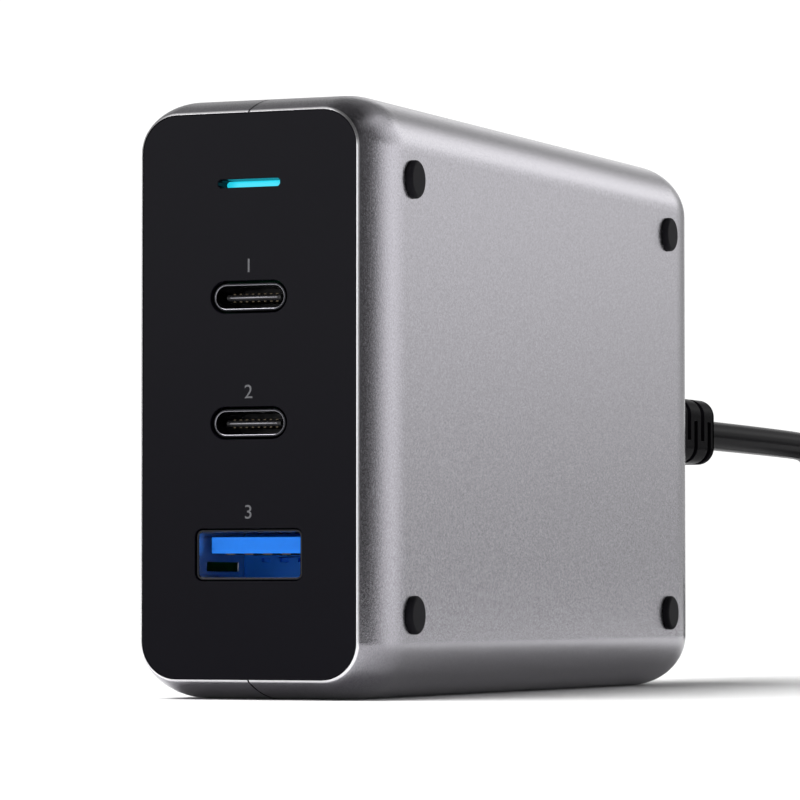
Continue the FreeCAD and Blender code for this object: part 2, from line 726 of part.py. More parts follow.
def transformer_spool(layer):
    """The core's middle leg with a layer round it, between the yokes."""
    thickness = TRANSFORMER_THICKNESS * CORE_CENTRE_SHARE + 2 * layer
    return transformer_block(thickness, CORE_CENTRE_WIDTH / 2 + layer, TRANSFORMER_HEIGHT / 2 - CORE_LEG)


def transformer_core():
    """A ferrite frame round a square middle leg, open towards the board and the side."""
    reach_y = TRANSFORMER_LENGTH / 2
    reach_z = TRANSFORMER_HEIGHT / 2
    frame = transformer_block(TRANSFORMER_THICKNESS, reach_y, reach_z)
    through = transformer_block(BODY_WIDTH, reach_y - CORE_SIDE_WIDTH, reach_z - CORE_LEG)
    return frame.cut(through).fuse(transformer_spool(0.0)).removeSplitter()


def transformer_bobbin():
    """A square spool round the middle leg, with a flange at each yoke."""
    reach_y = TRANSFORMER_LENGTH / 2 - CORE_SIDE_WIDTH
    reach_z = TRANSFORMER_HEIGHT / 2 - CORE_LEG
    flanges = transformer_block(TRANSFORMER_THICKNESS * BOBBIN_SHARE, reach_y, reach_z)
    flanges = flanges.cut(transformer_block(BODY_WIDTH, TRANSFORMER_LENGTH, reach_z - BOBBIN_WALL))
    return flanges.fuse(transformer_spool(BOBBIN_WALL)).cut(transformer_spool(0.0)).removeSplitter()


def transformer_winding():
    reach_y = TRANSFORMER_LENGTH / 2 - CORE_SIDE_WIDTH - WINDING_GAP
    reach_z = TRANSFORMER_HEIGHT / 2 - CORE_LEG - BOBBIN_WALL
    turns = transformer_block(TRANSFORMER_THICKNESS * WINDING_SHARE, reach_y, reach_z)
    return turns.cut(transformer_spool(BOBBIN_WALL))


def thermal_pad():
    """A soft pad from the transformer to the heat spreader."""
    return box(
        (TRANSFORMER_TOP, TRANSFORMER_Y - TRANSFORMER_LENGTH / 2, MIDDLE - TRANSFORMER_HEIGHT / 2),
        (SPREADER_FACE, TRANSFORMER_Y + TRANSFORMER_LENGTH / 2, MIDDLE + TRANSFORMER_HEIGHT / 2),
    )


def wall_sheet(x_low, x_high):
    """A sheet that lies on a side wall."""
    reach = INNER_TOP - SPREADER_MARGIN
    return box(
        (x_low, PORT_BOARD_BACK + SPREADER_MARGIN, MIDDLE - reach),
        (x_high, MAIN_BOARD_BACK - SPREADER_MARGIN, MIDDLE + reach),
    )


def power_chips():
    return group([
        standing(CHIP_LENGTH, CHIP_WIDTH, CHIP_THICKNESS, TRANSFORMER_Y, MIDDLE + z, MAIN_BOARD_FACE)
        for z in (-CHIP_OFFSET, CHIP_OFFSET)
    ])


def bulk_capacitor():
    return can(BULK_CAN_RADIUS, BULK_CAN_HEIGHT, MAIN_BOARD_BACK - BULK_FROM_BACK, MIDDLE, MAIN_BOARD_FACE)


def bridge_rectifier():
    y = MAIN_BOARD_BACK - BRIDGE_FROM_BACK
    return standing(BRIDGE_THICKNESS, BRIDGE_WIDTH, BRIDGE_HEIGHT, y, MIDDLE, MAIN_BOARD_FACE)


def line_filter_capacitor():
    y = MAIN_BOARD_BACK - FILTER_FROM_BACK
    z = MIDDLE + FILTER_OFFSET
    return standing(FILTER_LENGTH, FILTER_WIDTH, FILTER_HEIGHT, y, z, MAIN_BOARD_FACE)


def line_fuse():
    y = MAIN_BOARD_BACK - FUSE_FROM_BACK
    return standing(FUSE_LENGTH, FUSE_WIDTH, FUSE_HEIGHT, y, MIDDLE + FUSE_OFFSET, MAIN_BOARD_FACE)


def choke_block(base, height, length, width, shift=0.0):
    y = MAIN_BOARD_BACK - CHOKE_FROM_BACK
    return standing(length, width, height, y, MIDDLE + CHOKE_OFFSET + shift, MAIN_BOARD_FACE + base)


def line_choke_core():
    """A square ferrite ring lying over the board."""
    ring = choke_block(CHOKE_WIRE, CHOKE_HEIGHT, CHOKE_LENGTH, CHOKE_WIDTH)
    window = choke_block(0.0, BODY_WIDTH, CHOKE_LENGTH - 2 * CHOKE_LEG, CHOKE_WIDTH - 2 * CHOKE_LEG)
    return ring.cut(window)


def line_choke_windings():
    """A winding round each of two facing legs."""
    windings = []
    length = CHOKE_LENGTH - 2 * CHOKE_LEG - 2 * CHOKE_CLEARANCE
    for side in (-1, 1):
        shift = side * (CHOKE_WIDTH - CHOKE_LEG) / 2
        winding = choke_block(0.0, CHOKE_HEIGHT + 2 * CHOKE_WIRE, length, CHOKE_LEG + 2 * CHOKE_WIRE, shift)
        windings.append(winding.cut(line_choke_core()))
    return group(windings)


# Strain relief and cord

def relief_slot(index):
    """A slot across the sleeve that leaves its core, open at the bottom or the top by turns."""
    y = RELIEF_END - SLOT_FROM_END - index * SLOT_PITCH - SLOT_WIDTH / 2
    opening = RELIEF_HEIGHT / 2 * (1 if index % 2 else -1)
    ends = sorted((opening * 2, opening - math.copysign(SLOT_REACH, opening)))
    slot = box((-RELIEF_WIDTH, y, RELIEF_Z + ends[0]), (RELIEF_WIDTH, y + SLOT_WIDTH, RELIEF_Z + ends[1]))
    half = SLOT_CORE / 2
    return slot.cut(box((-half, y, RELIEF_Z - half), (half, y + SLOT_WIDTH, RELIEF_Z + half)))


def strain_relief():
    """A moulded sleeve: flange inside the wall, neck through it, slotted sleeve outside."""
    start = INNER_BACK - RELIEF_FLANGE_THICKNESS
    flange = bevelled(RELIEF_FLANGE_SIZE, RELIEF_FLANGE_SIZE, RELIEF_FLANGE_BEVEL, start, 0.0, RELIEF_Z)
    flange = prism(flange, RELIEF_FLANGE_THICKNESS)
    neck = rod(RELIEF_NECK_RADIUS, point(0, INNER_BACK, RELIEF_Z), point(0, BACK, RELIEF_Z))
    sleeve = plate(RELIEF_WIDTH, RELIEF_HEIGHT, RELIEF_CORNER, BACK, RELIEF_END, z=RELIEF_Z)
    end = [e for e in sleeve.Edges if e.BoundBox.YMin > RELIEF_END - SLOT_WIDTH]
    sleeve = sleeve.makeChamfer(RELIEF_END_BEVEL, end)
    sleeve = sleeve.cut([relief_slot(i) for i in range(SLOT_COUNT)])
    return flange.fuse([neck, sleeve]).removeSplitter()


def cord_section(diameter, centre):
    """The section of a cord or wire that faces the front, as a many-sided wire inside the circle."""
    corners = []
    for i in range(CORD_SIDES + 1):
        angle = 2 * math.pi * i / CORD_SIDES
        corners.append(centre + (ALONG_X * math.cos(angle) + ALONG_Z * math.sin(angle)) * (diameter / 2))
    return Part.makePolygon(corners)


def cord_wires():
    """Two wires from the relief that run straight onto the main board."""
    x = MAIN_BOARD_FACE + WIRE_DIAMETER / 2
    end = MAIN_BOARD_BACK - WIRE_LANDING
    length = INNER_BACK - RELIEF_FLANGE_THICKNESS - end
    return group([
        prism(cord_section(WIRE_DIAMETER, point(x, end, RELIEF_Z + side * WIRE_SPACING / 2)), length)
        for side in (-1, 1)
    ])


def rounded_route(points):
    """Straight runs joined by tangent arcs, as a wire."""
    edges = []
    last = points[0]
    for before, corner, after in zip(points, points[1:], points[2:]):
        back = (before - corner).normalize()
        ahead = (after - corner).normalize()
        reach = BEND_SHARE * min(before.distanceToPoint(corner), after.distanceToPoint(corner))
        half_turn = (math.pi - back.getAngle(ahead)) / 2
        radius = reach / math.tan(half_turn)
        inward = (back + ahead).normalize()
        middle = corner + inward * (radius / math.cos(half_turn) - radius)
        edges.append(Part.makeLine(last, corner + back * reach))
        edges.append(Part.Arc(corner + back * reach, middle, corner + ahead * reach).toShape())
        last = corner + ahead * reach
    edges.append(Part.makeLine(last, points[-1]))
    return Part.Wire(edges)


def tube(points):
    """The cord's section, which starts facing the front, carried along the runs and bends of a route."""
    route = rounded_route([point(*p) for p in points])
    face = Part.Face(cord_section(CORD_DIAMETER, point(*points[0])))
    pieces = []
    for edge in route.Edges:
        start = edge.valueAt(edge.FirstParameter)
        end = edge.valueAt(edge.LastParameter)
        if isinstance(edge.Curve, Part.Line):
            pieces.append(face.extrude(end - start))
            face.translate(end - start)
        else:
            turn = math.degrees(edge.Length / edge.Curve.Radius)
            pieces.append(face.revolve(edge.Curve.Center, edge.Curve.Axis, turn))
            face.rotate(edge.Curve.Center, edge.Curve.Axis, turn)
    return pieces[0].fuse(pieces[1:]).removeSplitter()


def hank_prism(radius):
    """An oblong prism with many-sided ends, as high as the hank."""
    corners = []
    for i in range(2 * FOLD_SIDES):
        angle = math.pi * (i + 0.5) / FOLD_SIDES
        y = HANK_FAR if i < FOLD_SIDES else HANK_NEAR
        corners.append(point(radius * math.cos(angle), y + radius * math.sin(angle), TIE_THICKNESS))
    return Part.Face(Part.makePolygon(corners + corners[:1])).extrude(ALONG_Z * HANK_HEIGHT)


def cord_hank():
    """The outer shape of the folded cord, with the end that enters it and the tail inside its loop."""
    outer = hank_prism((FOLD_RADIUS + HANK_HALF_WIDTH) / math.cos(math.pi / FOLD_SIDES / 2))
    ring = outer.cut(hank_prism(FOLD_RADIUS - HANK_HALF_WIDTH))
    stub = prism(cord_section(CORD_DIAMETER, point(*CORD_ROUTE[-1])), HANK_STUB)
    return ring.fuse([stub, tube(TAIL_ROUTE)])


def cord_tie():
    """A band round the far fold of the hank, straight across its turns."""
    fold = FOLD_RADIUS - HANK_HALF_WIDTH
    inner = HANK_FAR - TIE_CLEARANCE
    inner += math.sqrt(fold**2 - (TIE_WIDTH / 2)**2) * math.cos(math.pi / FOLD_SIDES / 2)
    outer = HANK_FAR + TIE_CLEARANCE
    outer += (FOLD_RADIUS + HANK_HALF_WIDTH) / math.cos(math.pi / FOLD_SIDES / 2)
    top = TIE_THICKNESS + HANK_HEIGHT + TIE_CLEARANCE
    band = box(
        (-TIE_WIDTH / 2, inner - TIE_THICKNESS, 0),
        (TIE_WIDTH / 2, outer + TIE_THICKNESS, top + TIE_THICKNESS),
    )
    hole = box((-TIE_WIDTH, inner, TIE_THICKNESS), (TIE_WIDTH, outer, top))
    return band.cut(hole)


def flat_sided(sections):
    """A solid with flat sides through sections whose matching edges are parallel."""
    faces = [Part.Face(sections[0]), Part.Face(sections[-1])]
    for near, far in zip(sections, sections[1:]):
        for edge, facing in zip(near.Edges, far.Edges):
            a, b = (v.Point for v in edge.Vertexes)
            c, d = (v.Point for v in facing.Vertexes)
            faces.append(Part.Face(Part.makePolygon([a, b, d, c, a])))
    shell = Part.Shell(faces)
    shell.sewShape()
    return Part.Solid(shell)


def plug_body():
    """A moulded plug that stands on its narrow side inside the hank, narrowing to the cord."""
    neck = 2 * PLUG_NECK_RADIUS
    waist = TAIL_END + PLUG_NECK_LENGTH / 2
    shoulder = TAIL_END + PLUG_NECK_LENGTH
    sections = [
        bevelled(neck, neck, PLUG_NECK_BEVEL, TAIL_END, 0, TOP_TURN_Z),
        bevelled(neck + PLUG_NECK_BEVEL, 2 * neck, PLUG_NECK_BEVEL, waist, 0, TOP_TURN_Z),
        bevelled(PLUG_THICKNESS, PLUG_WIDTH, PLUG_BEVEL, shoulder, 0, TOP_TURN_Z),
        bevelled(PLUG_THICKNESS, PLUG_WIDTH, PLUG_BEVEL, PLUG_FACE, 0, TOP_TURN_Z),
    ]
    return flat_sided(sections)


def plug_blades():
    """Two flat blades in the face of the plug."""
    blades = []
    for side in (-1, 1):
        z = TOP_TURN_Z + side * BLADE_SPACING / 2
        blades.append(box(
            (-BLADE_WIDTH / 2, PLUG_FACE, z - BLADE_THICKNESS / 2),
            (BLADE_WIDTH / 2, PLUG_FACE + BLADE_LENGTH, z + BLADE_THICKNESS / 2),
        ))
    return group(blades)


def build():
    wall = case_wall()
    upper = MIDDLE + USB_C_UPPER_OFFSET
    lower = MIDDLE + USB_C_LOWER_OFFSET
    usb_a = MIDDLE + USB_A_OFFSET
    nodes = {
        "case_left": case_left(wall),
        "case_right": case_right(wall),
        "front_panel": front_panel(),
        "light_bar": light_bar(),
        "light_source": light_source(),
        "usb_c_upper_shell": usb_c_shell(upper),
        "usb_c_upper_tongue": usb_c_tongue(upper),
        "usb_c_upper_contacts": usb_c_contacts(upper),
        "usb_c_lower_shell": usb_c_shell(lower),
        "usb_c_lower_tongue": usb_c_tongue(lower),
        "usb_c_lower_contacts": usb_c_contacts(lower),
        "usb_a_shell": usb_a_shell(usb_a),
        "usb_a_tongue": usb_a_tongue(usb_a),
        "usb_a_contacts": usb_a_contacts(usb_a),
        "port_board": port_board(),
        "main_board": main_board(),
        "board_connector": board_connector(),
        "output_inductors": output_inductors(),
        "output_capacitors": output_capacitors(),
        "transformer_core": transformer_core(),
        "transformer_bobbin": transformer_bobbin(),
        "transformer_winding": transformer_winding(),
        "thermal_pad": thermal_pad(),
        "heat_spreader": wall_sheet(SPREADER_FACE, INNER_SIDE),
        "insulating_sheet": wall_sheet(-INNER_SIDE, -INNER_SIDE + SHEET_THICKNESS),
        "power_chips": power_chips(),
        "bulk_capacitor": bulk_capacitor(),
        "bridge_rectifier": bridge_rectifier(),
        "line_filter_capacitor": line_filter_capacitor(),
        "line_fuse": line_fuse(),
        "line_choke_core": line_choke_core(),
        "line_choke_windings": line_choke_windings(),
        "strain_relief": strain_relief(),
        "cord_wires": cord_wires(),
        "cord_lead": tube(CORD_ROUTE),
        "cord_hank": cord_hank(),
        "cord_tie": cord_tie(),
        "plug_body": plug_body(),
        "plug_blades": plug_blades(),
    }
    for name, (y, z) in foot_places().items():
        nodes[name] = foot(y, z)
    return nodes


def main():
    os.makedirs("parts", exist_ok=True)
    for name, shape in build().items():
        shape.exportStep(f"parts/{name}.step")


main()
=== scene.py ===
import math

import bpy
from bpy.props import FloatProperty, FloatVectorProperty, IntProperty, PointerProperty
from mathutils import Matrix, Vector


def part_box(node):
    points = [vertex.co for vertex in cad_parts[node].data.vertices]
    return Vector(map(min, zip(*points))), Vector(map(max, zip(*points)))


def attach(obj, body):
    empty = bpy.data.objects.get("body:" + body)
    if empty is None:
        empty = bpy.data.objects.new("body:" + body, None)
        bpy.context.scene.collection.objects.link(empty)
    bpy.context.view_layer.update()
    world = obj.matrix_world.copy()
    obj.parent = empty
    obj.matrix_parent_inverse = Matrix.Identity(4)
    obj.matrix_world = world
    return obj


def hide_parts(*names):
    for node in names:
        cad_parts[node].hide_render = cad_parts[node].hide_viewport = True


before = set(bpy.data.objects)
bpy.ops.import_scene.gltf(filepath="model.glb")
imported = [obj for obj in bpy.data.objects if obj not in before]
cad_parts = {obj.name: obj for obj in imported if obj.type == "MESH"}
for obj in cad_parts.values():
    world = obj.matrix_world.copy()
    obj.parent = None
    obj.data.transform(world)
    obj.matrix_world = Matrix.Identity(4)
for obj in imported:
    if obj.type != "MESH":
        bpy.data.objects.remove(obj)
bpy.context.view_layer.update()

bl_info = {
    "name": "Desktop charger",
    "version": (1, 0, 0),
    "blender": (4, 5, 0),
    "location": "3D View > Sidebar > Charger",
    "description": "Dresses a packed desktop charger with finished pieces, materials and a plain studio",
    "category": "Object",
}

MM = 0.001
BODY = "root"

# Camera, fitted to the photograph: where it stands, what it looks at and its lens
CAMERA_PLACE = (215.72 * MM, -519.71 * MM, 11.56 * MM)
CAMERA_TARGET = (-4.356 * MM, 0.0, 35.888 * MM)
CAMERA_LENS = 205.66
CAMERA_SENSOR = 36.0
CAMERA_NEAR = 10 * MM

# Route of the cord from the strain relief down to the hank, and from the hank to the plug, and how far
# its ends run on inside those two
RELIEF_END = (0.0, 93.3 * MM, 34.8 * MM)
CORD_ROUTE = [
    RELIEF_END,
    (0.0, 128.0 * MM, 34.8 * MM),
    (-0.4 * MM, 163.0 * MM, 34.4 * MM),
    (-14.7 * MM, 201.0 * MM, 3.1 * MM),
    (-14.7 * MM, 228.0 * MM, 3.1 * MM),
]
TAIL_ROUTE = [
    (-10.5 * MM, 246.0 * MM, 11.5 * MM),
    (-10.5 * MM, 258.6 * MM, 11.5 * MM),
    (0.0, 277.6 * MM, 11.5 * MM),
    (0.0, 290.2 * MM, 11.5 * MM),
]
CORD_INSIDE = 4.0 * MM

# The hank: where its folds are centred, its innermost and lowest turn, and the turns in the order of
# folding, as steps out and steps up from that one
HANK_NEAR = 246.0 * MM
HANK_FAR = 330.0 * MM
INNER_TURN = 10.5 * MM
LOWEST_TURN_Z = 3.1 * MM
TURN_SPACING = 4.2 * MM
HANK_TURNS = [(1, 0), (0, 0), (0, 1), (1, 1), (1, 2), (0, 2)]
FOLD_CORNERS = 4

# Details that finish the solids: how deep the plated rim reaches and how far its faces look forward, the
# printed numbers, how deep the sockets' rims are painted dark as painted shade, the plate in a tongue, the
# end of the sleeve, the tie and the blades
RIM_REACH = 0.25 * MM
RIM_NORMAL_MIN = -0.9
RIM_NORMAL_MAX = -0.4
MARK_GAP = 1.2 * MM
INK_THICKNESS = 0.008 * MM
# How deep the sockets' rims are painted near-black as painted shade; the faces behind them are painted
# paler as painted highlight
USB_C_RIM_DEPTH = 0.005 * MM
USB_A_RIM_DEPTH = 0.4 * MM
PLATE_WIDTH = 5.9 * MM
PLATE_DEPTH = 1.1 * MM
PLATE_THICKNESS = 0.16 * MM
PLATE_PROUD = 0.05 * MM
PLATE_EDGE = 0.03 * MM
RELIEF_CHAMFER = 1.1 * MM
RELIEF_NEW_END = 1.0 * MM
TIE_EDGE = 0.5 * MM
BLADE_EDGE = 0.35 * MM

# Tolerances for merging and choosing, and the angles that count as flat and as sharp
MERGE_DISTANCE = 0.001 * MM
FACE_TOLERANCE = 0.01 * MM
FLAT_ANGLE = math.radians(0.5)
SHARP_ANGLE = math.radians(30)
SLEEVE_SHARP_ANGLE = math.radians(40)
PLUG_SHARP_ANGLE = math.radians(12)

# Patterns and finishes of the materials. A Wave node runs through 20 radians in each unit of its scale.
FLAKE_SPACING = 0.24 * MM
FLAKE_HEIGHT = 0.012 * MM
THREAD_SPACING = 0.9865 * MM
THREAD_HEIGHT = 0.15 * MM
WAVE_RADIANS = 20
GLOSS_SPREAD = 0.12
EVEN_GLOW_SHARE = 0.6
GLOW_AT_ENDS = 0.8

# Sockets of a Mix node that mixes colours
MIX_FIRST = 6
MIX_SECOND = 7
MIX_RESULT = 2

# The paper sheet on the floor, which ends on the right just past the view
FLOOR_SIZE = 2.4
FLOOR_RIGHT = 120 * MM

# Light of the studio. The key light is tilted from straight down and then turned round the vertical.
# A belt is a list of (degrees clockwise from the back, brightness), where 1 is white.
# Each belt above the lowest takes over between two heights in degrees.
KEY_STRENGTH = 3.7
KEY_TILT = math.radians(-30)
KEY_TURN = math.radians(52)
KEY_SPREAD = math.radians(40)
PANEL_STRENGTH = 4.2
LOWEST_BELT = [(-179, 1.05), (179, 1.05)]
BELTS = [
    (-16, -11, [
        (-179, 1.0), (-60, 1.0), (-36, 1.05), (-13, 1.05), (-5, 0.6), (4, 0.5), (12, 0.44), (20, 0.48),
        (30, 0.68), (42, 1.35), (49, 1.3), (55, 0.9), (61, 0.3), (67, 0.1), (76, 0.1), (98, 0.4),
        (111, 1.6), (128, 0.9), (179, 1.0),
    ]),
    (-1, 6, [
        (-179, 0.8), (-157, 4.2), (-125, 0.4), (-80, 0.12), (-60, 0.15), (-36, 1.1), (-13, 1.1), (-5, 0.3),
        (4, 0.4), (12, 0.88), (20, 1.28), (30, 1.5), (42, 2.0), (49, 1.9), (55, 1.2), (61, 0.35), (67, 0.1),
        (76, 0.1), (98, 0.4), (111, 2.8), (124, 0.4), (179, 0.8),
    ]),
    (8, 14, [
        (-179, 0.3), (-120, 0.4), (-60, 0.3), (-40, 0.2), (-27, 0.5), (-16, 1.2), (-9, 0.8), (-2, 0.5),
        (5, 0.75), (9, 1.4), (14, 2.15), (19, 2.05), (27, 1.6), (38, 1.3), (47, 0.8), (57, 0.2), (80, 0.1),
        (179, 0.3),
    ]),
    (24, 30, [
        (-179, 0.2), (-120, 0.4), (-60, 0.3), (-27, 0.22), (-2, 0.3), (12, 0.5), (24, 1.1), (40, 1.0),
        (52, 0.25), (66, 0.08), (179, 0.2),
    ]),
    (38, 48, [(-179, 0.1), (-120, 0.5), (-75, 0.8), (-45, 0.4), (-20, 0.1), (60, 0.05), (179, 0.1)]),
]


def linear(code):
    """An sRGB hex colour as linear values."""
    values = [int(code[i:i + 2], 16) / 255 for i in (0, 2, 4)]
    return tuple(v / 12.92 if v <= 0.04045 else ((v + 0.055) / 1.055) ** 2.4 for v in values)


class ChargerSizes(bpy.types.PropertyGroup):
    """Sizes of the finishing work on the charger."""

    panel_edge: FloatProperty(
        name="Panel edge", description="Rounding of the panel's edges and cut-outs",
        default=0.1 * MM, unit="LENGTH", precision=5,
    )
    socket_edge: FloatProperty(
        name="Socket edge", description="Rounding of the rolled socket rims",
        default=0.1 * MM, unit="LENGTH", precision=5,
    )
    insert_edge: FloatProperty(
        name="Insert edge", description="Rounding of the moulded socket inserts",
        default=0.08 * MM, unit="LENGTH", precision=5,
    )
    foot_edge: FloatProperty(
        name="Foot edge", description="Rounding of the rubber feet",
        default=0.45 * MM, unit="LENGTH", precision=5,
    )
    relief_edge: FloatProperty(
        name="Relief end", description="Rounding of the sleeve's end",
        default=1.8 * MM, unit="LENGTH", precision=5,
    )
    slot_edge: FloatProperty(
        name="Slot edge", description="Rounding of the sleeve's slots",
        default=0.12 * MM, unit="LENGTH", precision=5,
    )
    plug_edge: FloatProperty(
        name="Plug edge", description="Rounding of the moulded plug",
        default=1.2 * MM, unit="LENGTH", precision=5,
    )
    cord_diameter: FloatProperty(
        name="Cord diameter", description="Outer diameter of the mains cord",
        default=4.2 * MM, unit="LENGTH", precision=5,
    )
    mark_height: FloatProperty(
        name="Mark height", description="Height of the printed port numbers",
        default=2.2 * MM, unit="LENGTH", precision=5,
    )
    foot_sides: IntProperty(
        name="Foot sides", description="Sides of the round feet", default=64, min=12,
    )


class ChargerColours(bpy.types.PropertyGroup):
    """Colours that a user would change."""

    case: FloatVectorProperty(
        name="Case", description="Metallic paint of the case", subtype="COLOR",
        default=linear("9C9AA0"),
    )
    rim: FloatVectorProperty(
        name="Rim", description="Bright plated edge round the panel", subtype="COLOR",
        default=linear("EDEBEE"),
    )
    panel: FloatVectorProperty(
        name="Panel", description="Front panel", subtype="COLOR", default=linear("0A090F"),
    )
    light: FloatVectorProperty(
        name="Light", description="Light bar", subtype="COLOR", default=linear("26DCF6"),
    )
    insert: FloatVectorProperty(
        name="Insert", description="Insert of the large socket", subtype="COLOR",
        default=linear("2088FF"),
    )
    floor: FloatVectorProperty(
        name="Floor", description="Paper floor of the studio", subtype="COLOR",
        default=linear("F6F6F6"),
    )


# Building blocks for pieces

def only(piece):
    """Make a piece the active object and the only one selected."""
    bpy.ops.object.select_all(action="DESELECT")
    bpy.context.view_layer.objects.active = piece
    piece.select_set(True)


def edit(piece, kind="FACE", wanted=None):
    """Open a piece in edit mode with everything selected, or only the wanted faces or edges."""
    only(piece)
    bpy.ops.object.mode_set(mode="EDIT")
    bpy.ops.mesh.select_mode(type=kind)
    bpy.ops.mesh.select_all(action="SELECT" if wanted is None else "DESELECT")
    if wanted is not None:
        bpy.ops.object.mode_set(mode="OBJECT")
        for part in piece.data.polygons if kind == "FACE" else piece.data.edges:
            part.select = wanted(piece.data, part)
        bpy.ops.object.mode_set(mode="EDIT")


def close():
    """Leave edit mode."""
    bpy.ops.object.mode_set(mode="OBJECT")


def copy_of(node, name):
    """A merged copy of a CAD node's mesh, with its flat faces whole again."""
    piece = bpy.data.objects.new(name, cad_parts[node].data.copy())
    bpy.context.scene.collection.objects.link(piece)
    only(piece)
    bpy.ops.mesh.customdata_custom_splitnormals_clear()
    edit(piece)
    bpy.ops.mesh.remove_doubles(threshold=MERGE_DISTANCE)
    bpy.ops.mesh.dissolve_limited(angle_limit=FLAT_ANGLE)
    close()
    return piece


def apply_modifier(piece, kind, **settings):
    """Add a modifier with its settings and apply it."""
    only(piece)
    modifier = piece.modifiers.new(kind.lower(), kind)
    for name, value in settings.items():
        setattr(modifier, name, value)
    bpy.ops.object.modifier_apply(modifier=modifier.name)


def round_edges(piece, width, segments, angle=SHARP_ANGLE):
    """Round every edge that is sharper than an angle."""
    apply_modifier(
        piece, "BEVEL", width=width, segments=segments, limit_method="ANGLE", angle_limit=angle,
        use_clamp_overlap=True, miter_outer="MITER_ARC",
    )


def smooth(piece):
    """Smooth the curved faces and keep the flat ones flat."""
    only(piece)
    bpy.ops.object.shade_smooth_by_angle(angle=SHARP_ANGLE)
    apply_modifier(piece, "WEIGHTED_NORMAL", weight=100, keep_sharp=True)


def settle(piece, slot, *nodes, materials):
    """Give a piece its materials and its place on the body, in the room of CAD nodes. The slot is not used.
    """
    piece.data.materials.clear()
    for material in materials:
        piece.data.materials.append(material)
    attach(piece, BODY)
    if nodes:
        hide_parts(*nodes)
    return piece


def dress(node, material):
    """Give a CAD node that stays a better material."""
    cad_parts[node].material_slots[0].material = material


# Materials

def add_node(tree, kind, inputs=None, **settings):
    """Add a node with its settings, and set or link its inputs."""
    node = tree.nodes.new(kind)
    for name, value in settings.items():
        setattr(node, name, value)
    for key, value in (inputs or {}).items():
        if isinstance(value, bpy.types.NodeSocket):
            tree.links.new(value, node.inputs[key])
        else:
            node.inputs[key].default_value = value
    return node


def new_material(name, **constants):
    """A material with one shader, its constant sockets set, and its object coordinates."""
    material = bpy.data.materials.new(name)
    material.use_nodes = True
    tree = material.node_tree
    shader = tree.nodes["Principled BSDF"]
    for key, value in constants.items():
        shader.inputs[key.replace("_", " ")].default_value = value
    coordinates = add_node(tree, "ShaderNodeTexCoord").outputs["Object"]
    return material, tree, shader, coordinates


def rgba(colour, factor=1.0):
    """A colour, made lighter or darker by a factor, with full opacity."""
    return (*(channel * factor for channel in colour), 1.0)


def grained(name, colour, grain, contrast, roughness, height=0.0, **constants):
    """A surface whose colour and gloss vary with a grain, which may stand up a little.

    The grain is a real size in metres. Contrast is how far the colour goes either way.
    """
    material, tree, shader, coordinates = new_material(name, **constants)
    noise = add_node(tree, "ShaderNodeTexNoise", {
        "Vector": coordinates, "Scale": 1 / grain, "Detail": 3.0,
    })
    tone = add_node(tree, "ShaderNodeMix", {
        "Factor": noise.outputs["Fac"],
        MIX_FIRST: rgba(colour, 1 - contrast), MIX_SECOND: rgba(colour, 1 + contrast),
    }, data_type="RGBA")
    gloss = add_node(tree, "ShaderNodeMapRange", {
        "Value": noise.outputs["Fac"],
        "To Min": roughness * (1 - GLOSS_SPREAD), "To Max": min(1.0, roughness * (1 + GLOSS_SPREAD)),
    })
    tree.links.new(tone.outputs[MIX_RESULT], shader.inputs["Base Color"])
    tree.links.new(gloss.outputs["Result"], shader.inputs["Roughness"])
    if height:
        bump = add_node(tree, "ShaderNodeBump", {
            "Height": noise.outputs["Fac"], "Distance": height, "Strength": 1.0,
        })
        tree.links.new(bump.outputs["Normal"], shader.inputs["Normal"])
    return material


def metallic_paint(colour):
    """Polycarbonate with metallic paint: fine flakes give a soft sparkle over a satin sheen.

    Real flakes are about 0.05 mm across. They are drawn coarser than that, so that they show.
    """
    material, tree, shader, coordinates = new_material(
        "Metallic painted polycarbonate, satin", Metallic=1.0,
    )
    flakes = add_node(tree, "ShaderNodeTexNoise", {
        "Vector": coordinates, "Scale": 1 / FLAKE_SPACING, "Detail": 2.0, "Roughness": 0.7,
    })
    spread = add_node(tree, "ShaderNodeMapRange", {
        "Value": flakes.outputs["Fac"], "From Min": 0.3, "From Max": 0.7,
    })
    tone = add_node(tree, "ShaderNodeMix", {
        "Factor": spread.outputs["Result"], MIX_FIRST: rgba(colour, 0.8), MIX_SECOND: rgba(colour, 1.2),
    }, data_type="RGBA")
    gloss = add_node(tree, "ShaderNodeMapRange", {
        "Value": spread.outputs["Result"], "To Min": 0.17, "To Max": 0.27,
    })
    bump = add_node(tree, "ShaderNodeBump", {
        "Height": flakes.outputs["Fac"], "Distance": FLAKE_HEIGHT, "Strength": 1.0,
    })
    tree.links.new(tone.outputs[MIX_RESULT], shader.inputs["Base Color"])
    tree.links.new(gloss.outputs["Result"], shader.inputs["Roughness"])
    tree.links.new(bump.outputs["Normal"], shader.inputs["Normal"])
    return material


def plated_rim(colour):
    """Plated plastic: bright metal with a soft gloss and a faint grain."""
    return grained("Chrome plated polycarbonate, satin", colour, 0.3 * MM, 0.05, 0.26, Metallic=1.0)


def gloss_panel(colour):
    """Black polycarbonate, polished: a deep colour under a clear, slightly wavy gloss."""
    return grained(
        "Black polycarbonate, polished", colour, 9.0 * MM, 0.06, 0.2, 0.004 * MM, Specular_IOR_Level=0.05,
    )


